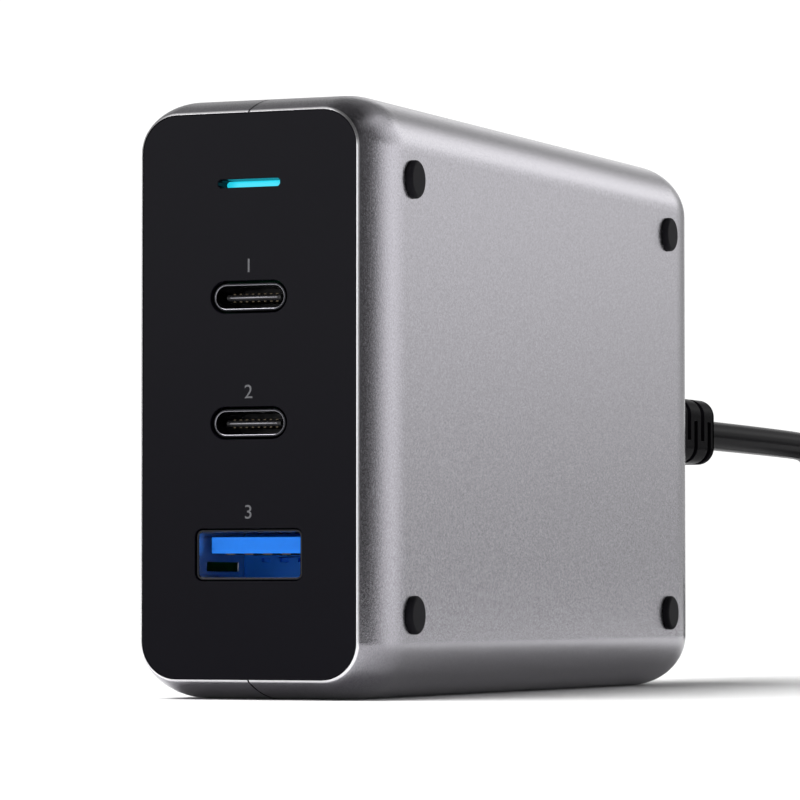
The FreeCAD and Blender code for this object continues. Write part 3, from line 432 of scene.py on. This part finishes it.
def lit_acrylic(colour):
    """Clear acrylic lit from behind: an even glow, a little weaker towards its ends."""
    material, tree, shader, coordinates = new_material("Light guide acrylic, lit", Roughness=0.3)
    place = add_node(tree, "ShaderNodeSeparateXYZ", {0: coordinates})
    half_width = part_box("light_bar")[1].x
    away = add_node(tree, "ShaderNodeMath", {0: place.outputs["X"]}, operation="ABSOLUTE")
    glow = add_node(tree, "ShaderNodeMapRange", {
        "Value": away.outputs[0], "From Min": half_width * EVEN_GLOW_SHARE, "From Max": half_width,
        "To Min": 1.0, "To Max": GLOW_AT_ENDS,
    })
    tree.links.new(glow.outputs["Result"], shader.inputs["Emission Strength"])
    shader.inputs["Base Color"].default_value = rgba(colour, 0.1)
    shader.inputs["Emission Color"].default_value = rgba(colour)
    return material


def woven_band(colour):
    """Woven nylon band: rows of coarse threads that cross, with a dull sheen."""
    material, tree, shader, coordinates = new_material(
        "Woven nylon band", Roughness=0.85, Sheen_Weight=0.05,
    )
    heights = []
    for axis in ("X", "Z"):
        heights.append(add_node(tree, "ShaderNodeTexWave", {
            "Vector": coordinates, "Scale": 2 * math.pi / (WAVE_RADIANS * THREAD_SPACING),
            "Distortion": 0.6, "Detail": 1.0,
        }, bands_direction=axis))
    weave = add_node(tree, "ShaderNodeMath", {
        0: heights[0].outputs["Fac"], 1: heights[1].outputs["Fac"],
    }, operation="MULTIPLY")
    tone = add_node(tree, "ShaderNodeMix", {
        "Factor": weave.outputs[0], MIX_FIRST: rgba(colour, 0.5), MIX_SECOND: rgba(colour, 1.6),
    }, data_type="RGBA")
    bump = add_node(tree, "ShaderNodeBump", {
        "Height": weave.outputs[0], "Distance": THREAD_HEIGHT, "Strength": 1.0,
    })
    tree.links.new(tone.outputs[MIX_RESULT], shader.inputs["Base Color"])
    tree.links.new(bump.outputs["Normal"], shader.inputs["Normal"])
    return material


def flexible_pvc(name, colour, roughness, gloss=0.015):
    """Plasticised PVC: a dull black with a broad soft highlight and a faint grain."""
    return grained(
        name, linear(colour), 0.35 * MM, 0.12, roughness, 0.003 * MM, Specular_IOR_Level=gloss,
    )


# Operators

class CHARGER_OT_case(bpy.types.Operator):
    """Finish the two case halves and their bright rim"""

    bl_idname = "charger.case"
    bl_label = "Case"

    def execute(self, context):
        colours = context.scene.charger_colours
        paint, rim = metallic_paint(colours.case), plated_rim(colours.rim)
        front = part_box("case_left")[0].y
        for node in ("case_left", "case_right"):
            piece = copy_of(node, f"{node}_painted")
            smooth(piece)
            settle(piece, "case_grey", node, materials=[paint, rim])
            for face in piece.data.polygons:
                sloped = RIM_NORMAL_MIN < face.normal.y < RIM_NORMAL_MAX
                face.material_index = 1 if sloped and face.center.y < front + RIM_REACH else 0
        return {"FINISHED"}


class CHARGER_OT_front(bpy.types.Operator):
    """Finish the front panel, its light bar and its printed port numbers"""

    bl_idname = "charger.front"
    bl_label = "Front"

    def execute(self, context):
        sizes, colours = context.scene.charger_sizes, context.scene.charger_colours
        panel = copy_of("front_panel", "front_panel_polished")
        round_edges(panel, sizes.panel_edge, segments=2)
        smooth(panel)
        settle(panel, "panel_black", "front_panel", materials=[gloss_panel(colours.panel)])
        bar = copy_of("light_bar", "light_bar_lit")
        round_edges(bar, sizes.panel_edge, segments=2)
        smooth(bar)
        settle(bar, "light_guide", "light_bar", materials=[lit_acrylic(colours.light)])
        self.print_marks(sizes)
        return {"FINISHED"}

    def print_marks(self, sizes):
        """Plain numbers over the three sockets, in thin ink with a dull, slightly uneven grey."""
        ink = grained("Pad printing ink, grey", linear("5A5A5E"), 0.3 * MM, 0.1, 0.6)
        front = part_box("front_panel")[0].y
        shells = ("usb_c_upper_shell", "usb_c_lower_shell", "usb_a_shell")
        for number, node in enumerate(shells, start=1):
            bpy.ops.object.select_all(action="DESELECT")
            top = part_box(node)[1].z
            bpy.ops.object.text_add(
                location=(0.0, front, top + MARK_GAP), rotation=(math.pi / 2, 0.0, 0.0),
            )
            mark = bpy.context.object
            mark.name = f"port_number_{number}"
            mark.data.body = str(number)
            mark.data.align_x = "CENTER"
            mark.data.size = sizes.mark_height
            mark.data.extrude = INK_THICKNESS
            bpy.ops.object.convert(target="MESH")
            bpy.ops.object.transform_apply(location=True, rotation=True, scale=True)
            settle(bpy.context.object, "panel_black", materials=[ink])


class CHARGER_OT_sockets(bpy.types.Operator):
    """Finish the sockets: rolled shells, moulded inserts and plated contacts"""

    bl_idname = "charger.sockets"
    bl_label = "Sockets"

    def execute(self, context):
        sizes, colours = context.scene.charger_sizes, context.scene.charger_colours
        # Nickel gives a soft grey shine. The rims of the shells are painted nearly black as painted shade,
        # and the paler steel inside them, pale rolled steel in the large socket, is painted highlight
        nickel = grained("Nickel plated steel, satin", linear("85848A"), 0.6 * MM, 0.06, 0.2, Metallic=1.0)
        painted_shade = grained("Black oxide steel", linear("29292C"), 0.6 * MM, 0.1, 0.35, Metallic=1.0)
        rolled = grained("Rolled steel, satin", linear("D5D8DE"), 0.6 * MM, 0.05, 0.35, Metallic=1.0)
        # Moulded nylon is dull with a fine grain, and the contacts are drawn a dark brownish gold, so that
        # they show only faintly
        black = grained("Black nylon, moulded", linear("141416"), 0.2 * MM, 0.15, 0.5, 0.002 * MM)
        blue = grained(
            "Blue nylon, moulded", colours.insert, 0.4 * MM, 0.05, 0.5, 0.002 * MM,
            Specular_IOR_Level=0.2,
        )
        gold = grained(
            "Gold flashed contact, dull", linear("5E5546"), 0.15 * MM, 0.08, 0.45, Metallic=1.0,
        )
        for socket, insert, inside, rim_depth in (
            ("usb_c_upper", black, nickel, USB_C_RIM_DEPTH),
            ("usb_c_lower", black, nickel, USB_C_RIM_DEPTH),
            ("usb_a", blue, rolled, USB_A_RIM_DEPTH),
        ):
            shell = copy_of(f"{socket}_shell", f"{socket}_shell_rolled")
            round_edges(shell, sizes.socket_edge, segments=3)
            smooth(shell)
            settle(shell, "socket_steel", f"{socket}_shell", materials=[painted_shade, inside])
            # The rim faces get the near-black steel as painted shade, and the faces inside get the paler
            # steel as painted highlight
            self.brighten_inside(shell, socket, rim_depth)
            tongue = copy_of(f"{socket}_tongue", f"{socket}_insert")
            round_edges(tongue, sizes.insert_edge, segments=2)
            smooth(tongue)
            slot = "socket_blue" if insert is blue else "socket_black"
            settle(tongue, slot, f"{socket}_tongue", materials=[insert])
            dress(f"{socket}_contacts", gold)
            if insert is black:
                self.plate(socket, nickel)
        return {"FINISHED"}

    def brighten_inside(self, shell, socket, rim_depth):
        """Give the faces behind the rim the second, paler material as painted highlight, but for those that
        look outwards, which keep the near-black first one as painted shade, like the rim.
        """
        low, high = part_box(f"{socket}_shell")
        middle = (low + high) / 2
        for face in shell.data.polygons:
            away = face.center - middle
            outward = away.x * face.normal.x + away.z * face.normal.z > MERGE_DISTANCE
            face.material_index = 1 if face.center.y > low.y + rim_depth and not outward else 0

    def plate(self, socket, nickel):
        """The stiffening plate in the tongue, whose edge stands a little proud of its front."""
        low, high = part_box(f"{socket}_tongue")
        place = (0.0, low.y - PLATE_PROUD + PLATE_DEPTH / 2, (low.z + high.z) / 2)
        bpy.ops.object.select_all(action="DESELECT")
        bpy.ops.mesh.primitive_cube_add(size=1.0, location=place)
        bpy.ops.transform.resize(value=(PLATE_WIDTH, PLATE_DEPTH, PLATE_THICKNESS))
        bpy.ops.object.transform_apply(location=True, rotation=True, scale=True)
        plate = bpy.context.object
        plate.name = f"{socket}_plate"
        round_edges(plate, PLATE_EDGE, segments=2)
        smooth(plate)
        settle(plate, "socket_steel", materials=[nickel])


class CHARGER_OT_feet(bpy.types.Operator):
    """Model the rubber feet on the side"""

    bl_idname = "charger.feet"
    bl_label = "Feet"

    def execute(self, context):
        sizes = context.scene.charger_sizes
        # Silicone rubber is a dull black with almost no highlight
        rubber = grained(
            "Black silicone rubber, moulded", linear("1C1B1F"), 0.25 * MM, 0.15, 0.5, 0.003 * MM,
            Specular_IOR_Level=0.03,
        )
        for node in ("foot_front_upper", "foot_front_lower", "foot_rear_upper", "foot_rear_lower"):
            low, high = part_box(node)
            bpy.ops.object.select_all(action="DESELECT")
            bpy.ops.mesh.primitive_cylinder_add(
                vertices=sizes.foot_sides, radius=(high.y - low.y) / 2, depth=high.x - low.x,
                location=(low + high) / 2, rotation=(0.0, math.pi / 2, 0.0),
            )
            bpy.ops.object.transform_apply(location=True, rotation=True, scale=True)
            foot = bpy.context.object
            foot.name = f"{node}_rubber"
            outer = high.x - FACE_TOLERANCE
            edit(foot, "EDGE", lambda mesh, edge: all(mesh.vertices[i].co.x > outer for i in edge.vertices))
            bpy.ops.mesh.bevel(offset=sizes.foot_edge, segments=5, profile=0.5)
            close()
            smooth(foot)
            settle(foot, "foot_rubber", node, materials=[rubber])
        return {"FINISHED"}


class CHARGER_OT_relief(bpy.types.Operator):
    """Give the moulded strain relief a rounder end and round its slots"""

    bl_idname = "charger.relief"
    bl_label = "Strain relief"

    def execute(self, context):
        sizes = context.scene.charger_sizes
        piece = copy_of("strain_relief", "strain_relief_moulded")
        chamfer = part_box("strain_relief")[1].y - RELIEF_CHAMFER
        edit(piece, "FACE", lambda mesh, face: all(mesh.vertices[i].co.y > chamfer for i in face.vertices))
        bpy.ops.mesh.delete(type="FACE")
        bpy.ops.mesh.select_mode(type="EDGE")
        bpy.ops.mesh.select_non_manifold()
        bpy.ops.mesh.extrude_region_move(TRANSFORM_OT_translate={"value": (0.0, RELIEF_NEW_END, 0.0)})
        bpy.ops.mesh.edge_face_add()
        bpy.ops.mesh.region_to_loop()
        bpy.ops.mesh.bevel(offset=sizes.relief_edge, segments=6, profile=0.5)
        close()
        round_edges(piece, sizes.slot_edge, segments=2, angle=SLEEVE_SHARP_ANGLE)
        smooth(piece)
        moulded = flexible_pvc("Black PVC, moulded", "0D0C0F", 0.25, 0.004)
        settle(piece, "cord_black", "strain_relief", materials=[moulded])
        return {"FINISHED"}


class CHARGER_OT_cord(bpy.types.Operator):
    """Lay the mains cord along its route, fold it and finish its tie and plug"""

    bl_idname = "charger.cord"
    bl_label = "Cord"

    def execute(self, context):
        sizes = context.scene.charger_sizes
        pieces = [self.tie(), self.plug(sizes), self.blades()]
        cord = self.lay(sizes.cord_diameter)
        return {"FINISHED"}

    def hank_points(self):
        """Corners of the hank's turns, which change place at the near fold."""
        points = []
        for here, there in zip(HANK_TURNS, HANK_TURNS[1:]):
            radius, z = self.turn(here)
            reach = radius * math.tan(math.pi / FOLD_CORNERS / 2)
            run = [HANK_NEAR + reach, (HANK_NEAR + HANK_FAR) / 2, HANK_FAR - reach]
            points += [(-radius, y, z) for y in run]
            points += self.fold(HANK_FAR, math.pi, here, here)
            points += [(radius, y, z) for y in reversed(run)]
            points += self.fold(HANK_NEAR, 0.0, here, there)
        return points

    def turn(self, place):
        """The fold radius and the height of a turn."""
        out, up = place
        return INNER_TURN + out * TURN_SPACING, LOWEST_TURN_Z + up * TURN_SPACING

    def fold(self, centre, start, here, there):
        """Corners of half a turn that goes clockwise from one place in the hank to another."""
        corners = []
        for i in range(FOLD_CORNERS):
            share = (i + 0.5) / FOLD_CORNERS
            radius, z = (a + (b - a) * share for a, b in zip(self.turn(here), self.turn(there)))
            radius /= math.cos(math.pi / FOLD_CORNERS / 2)
            angle = start - math.pi * share
            corners.append((radius * math.cos(angle), centre + radius * math.sin(angle), z))
        return corners

    def lay(self, diameter):
        """One smooth line from inside the relief to inside the plug."""
        start, end = Vector(CORD_ROUTE[0]), Vector(TAIL_ROUTE[-1])
        points = [tuple(start - Vector((0, CORD_INSIDE, 0))), *CORD_ROUTE[1:], *self.hank_points()]
        points += [*TAIL_ROUTE[:-1], tuple(end + Vector((0, CORD_INSIDE, 0)))]
        curve = bpy.data.curves.new("mains_cord", "CURVE")
        curve.dimensions = "3D"
        curve.bevel_depth = diameter / 2
        curve.bevel_resolution = 6
        curve.resolution_u = 8
        curve.use_fill_caps = True
        spline = curve.splines.new("NURBS")
        spline.points.add(len(points) - 1)
        for point, place in zip(spline.points, points):
            point.co = (*place, 1.0)
        spline.order_u = 3
        spline.use_endpoint_u = True
        cord = bpy.data.objects.new("mains_cord", curve)
        bpy.context.scene.collection.objects.link(cord)
        extruded = flexible_pvc("Black PVC, extruded", "0D0C0F", 0.2, 0.006)
        return settle(cord, "cord_black", "cord_lead", "cord_hank", materials=[extruded])

    def tie(self):
        """The woven band round the hank."""
        piece = copy_of("cord_tie", "cord_tie_woven")
        round_edges(piece, TIE_EDGE, segments=3)
        smooth(piece)
        return settle(piece, "tie_black", "cord_tie", materials=[woven_band(linear("18181B"))])

    def plug(self, sizes):
        """The moulded body of the plug."""
        piece = copy_of("plug_body", "plug_body_moulded")
        round_edges(piece, sizes.plug_edge, segments=4, angle=PLUG_SHARP_ANGLE)
        smooth(piece)
        moulded = flexible_pvc("Black PVC, plug", "19181B", 0.48)
        return settle(piece, "plug_black", "plug_body", materials=[moulded])

    def blades(self):
        """The plug's blades, with the warm shine of nickel on brass."""
        piece = copy_of("plug_blades", "plug_blades_plated")
        round_edges(piece, BLADE_EDGE, segments=3)
        smooth(piece)
        plated = grained("Nickel plated brass", linear("CFCBC0"), 0.8 * MM, 0.05, 0.22, Metallic=1.0)
        return settle(piece, "blade_plated", "plug_blades", materials=[plated])


class CHARGER_OT_inside(bpy.types.Operator):
    """Give the parts inside the case their finishes"""

    bl_idname = "charger.inside"
    bl_label = "Inside"

    def execute(self, context):
        # Boards are glossy green, ferrite is coarse and dull, epoxy is a fine matt black,
        # enamelled wire shines and rolled sheet is satin
        board = grained("Green solder mask", linear("1B6B3C"), 1.2 * MM, 0.15, 0.35, 0.004 * MM)
        ferrite = grained("Sintered ferrite", linear("3C3C3F"), 0.3 * MM, 0.25, 0.6, 0.01 * MM)
        moulded = grained("Black epoxy, moulded", linear("232326"), 0.2 * MM, 0.2, 0.55, 0.003 * MM)
        copper = grained(
            "Enamelled copper wire", linear("B4662F"), 0.5 * MM, 0.2, 0.3, 0.05 * MM, Metallic=1.0,
        )
        sheet = grained("Rolled aluminium sheet", linear("CFCFD0"), 0.8 * MM, 0.06, 0.35, Metallic=1.0)
        finishes = {
            "light_source": grained("Lamp package, white", linear("ECEBE2"), 0.4 * MM, 0.04, 0.5),
            "port_board": board,
            "main_board": board,
            "board_connector": moulded,
            "output_inductors": ferrite,
            "output_capacitors": sheet,
            "transformer_core": ferrite,
            "transformer_bobbin": grained("Phenolic, moulded", linear("2B2522"), 0.3 * MM, 0.2, 0.5),
            "transformer_winding": grained("Yellow polyester tape", linear("D9B233"), 1.5 * MM, 0.1, 0.35),
            "thermal_pad": grained("Silicone pad, grey", linear("8E9196"), 0.4 * MM, 0.1, 0.75, 0.01 * MM),
            "heat_spreader": sheet,
            "insulating_sheet": grained("Polyester film", linear("D8CDA8"), 2.0 * MM, 0.05, 0.3),
            "power_chips": moulded,
            "bulk_capacitor": grained("Shrink sleeve, blue black", linear("181B33"), 0.6 * MM, 0.1, 0.3),
            "bridge_rectifier": moulded,
            "line_filter_capacitor": grained(
                "Yellow capacitor case", linear("E0B82A"), 0.5 * MM, 0.08, 0.4,
            ),
            "line_fuse": moulded,
            "line_choke_core": ferrite,
            "line_choke_windings": copper,
            "cord_wires": flexible_pvc("Black PVC, wires", "1B1B1D", 0.45),
        }
        for node, material in finishes.items():
            dress(node, material)
        return {"FINISHED"}


class CHARGER_OT_stage(bpy.types.Operator):
    """Set up the camera, the paper floor and the soft studio light"""

    bl_idname = "charger.stage"
    bl_label = "Stage"

    def execute(self, context):
        scene = context.scene
        scene.view_settings.view_transform = "Standard"
        self.camera(scene)
        self.floor(scene)
        self.lamp()
        self.world(scene)
        return {"FINISHED"}

    def camera(self, scene):
        """The camera that was fitted to the photograph."""
        bpy.ops.object.camera_add(location=CAMERA_PLACE)
        camera = bpy.context.object
        sight = Vector(CAMERA_TARGET) - Vector(CAMERA_PLACE)
        camera.rotation_euler = sight.to_track_quat("-Z", "Y").to_euler()
        camera.data.lens = CAMERA_LENS
        camera.data.sensor_width = CAMERA_SENSOR
        camera.data.clip_start = CAMERA_NEAR
        scene.camera = camera

    def floor(self, scene):
        """A sheet of matt paper, with a grain too faint to see from afar."""
        bpy.ops.object.select_all(action="DESELECT")
        bpy.ops.mesh.primitive_plane_add(
            size=FLOOR_SIZE, location=(FLOOR_RIGHT - FLOOR_SIZE / 2, 0.0, 0.0),
        )
        bpy.ops.object.transform_apply(location=True, rotation=True, scale=True)
        floor = bpy.context.object
        floor.name = "floor"
        paper = grained(
            "White paper, matt", scene.charger_colours.floor, 2.0 * MM, 0.01, 0.9, Specular_IOR_Level=0.2,
        )
        floor.data.materials.append(paper)

    def lamp(self):
        """A large soft key light, high up in front of the charger on its left."""
        bpy.ops.object.light_add(type="SUN", rotation=(0.0, KEY_TILT, KEY_TURN))
        lamp = bpy.context.object
        lamp.data.angle = KEY_SPREAD
        lamp.data.energy = KEY_STRENGTH

    def world(self, scene):
        """A studio of soft panels: brightness by compass direction, in belts from the lowest up."""
        world = bpy.data.worlds.new("Studio")
        scene.world = world
        world.use_nodes = True
        tree = world.node_tree
        direction = add_node(tree, "ShaderNodeTexCoord").outputs["Generated"]
        axes = add_node(tree, "ShaderNodeSeparateXYZ", {0: direction})
        turn = add_node(tree, "ShaderNodeMath", {
            0: axes.outputs["X"], 1: axes.outputs["Y"],
        }, operation="ARCTAN2")
        share = add_node(tree, "ShaderNodeMapRange", {
            "Value": turn.outputs[0], "From Min": -math.pi, "From Max": math.pi,
        })
        light = self.ring(tree, share.outputs["Result"], LOWEST_BELT)
        for bottom, top, panels in BELTS:
            height = add_node(tree, "ShaderNodeMapRange", {
                "Value": axes.outputs["Z"], "From Min": math.sin(math.radians(bottom)),
                "From Max": math.sin(math.radians(top)),
            }, interpolation_type="SMOOTHSTEP")
            belt = self.ring(tree, share.outputs["Result"], panels)
            light = add_node(tree, "ShaderNodeMix", {
                "Factor": height.outputs["Result"], MIX_FIRST: light, MIX_SECOND: belt,
            }, data_type="RGBA").outputs[MIX_RESULT]
        background = tree.nodes["Background"]
        tree.links.new(light, background.inputs["Color"])
        background.inputs["Strength"].default_value = PANEL_STRENGTH

    def ring(self, tree, share, panels):
        """Brightness round the compass, from degrees clockwise of the back."""
        ramp = add_node(tree, "ShaderNodeValToRGB", {"Fac": share})
        ramp.color_ramp.interpolation = "EASE"
        elements = ramp.color_ramp.elements
        for degrees, level in panels:
            element = elements.new((degrees + 180) / 360)
            value = level / PANEL_STRENGTH
            element.color = (value, value, value, 1.0)
        elements.remove(elements[0])
        elements.remove(elements[-1])
        return ramp.outputs["Color"]


OPERATORS = (
    CHARGER_OT_case, CHARGER_OT_front, CHARGER_OT_sockets, CHARGER_OT_feet, CHARGER_OT_relief,
    CHARGER_OT_cord, CHARGER_OT_inside, CHARGER_OT_stage,
)


class VIEW3D_PT_charger(bpy.types.Panel):
    """Lists the steps that dress the charger"""

    bl_label = "Charger"
    bl_space_type = "VIEW_3D"
    bl_region_type = "UI"
    bl_category = "Charger"

    def draw(self, context):
        for operator in OPERATORS:
            self.layout.operator(operator.bl_idname)
        for settings in (context.scene.charger_sizes, context.scene.charger_colours):
            for name in settings.bl_rna.properties.keys():
                if name not in ("rna_type", "name"):
                    self.layout.prop(settings, name)


CLASSES = (ChargerSizes, ChargerColours, *OPERATORS, VIEW3D_PT_charger)


def register():
    for cls in CLASSES:
        bpy.utils.register_class(cls)
    bpy.types.Scene.charger_sizes = PointerProperty(type=ChargerSizes)
    bpy.types.Scene.charger_colours = PointerProperty(type=ChargerColours)


def unregister():
    del bpy.types.Scene.charger_colours
    del bpy.types.Scene.charger_sizes
    for cls in reversed(CLASSES):
        bpy.utils.unregister_class(cls)


def main():
    register()
    bpy.ops.charger.case()
    bpy.ops.charger.front()
    bpy.ops.charger.sockets()
    bpy.ops.charger.feet()
    bpy.ops.charger.relief()
    bpy.ops.charger.cord()
    bpy.ops.charger.inside()
    bpy.ops.charger.stage()


if __name__ == "__main__":
    main()
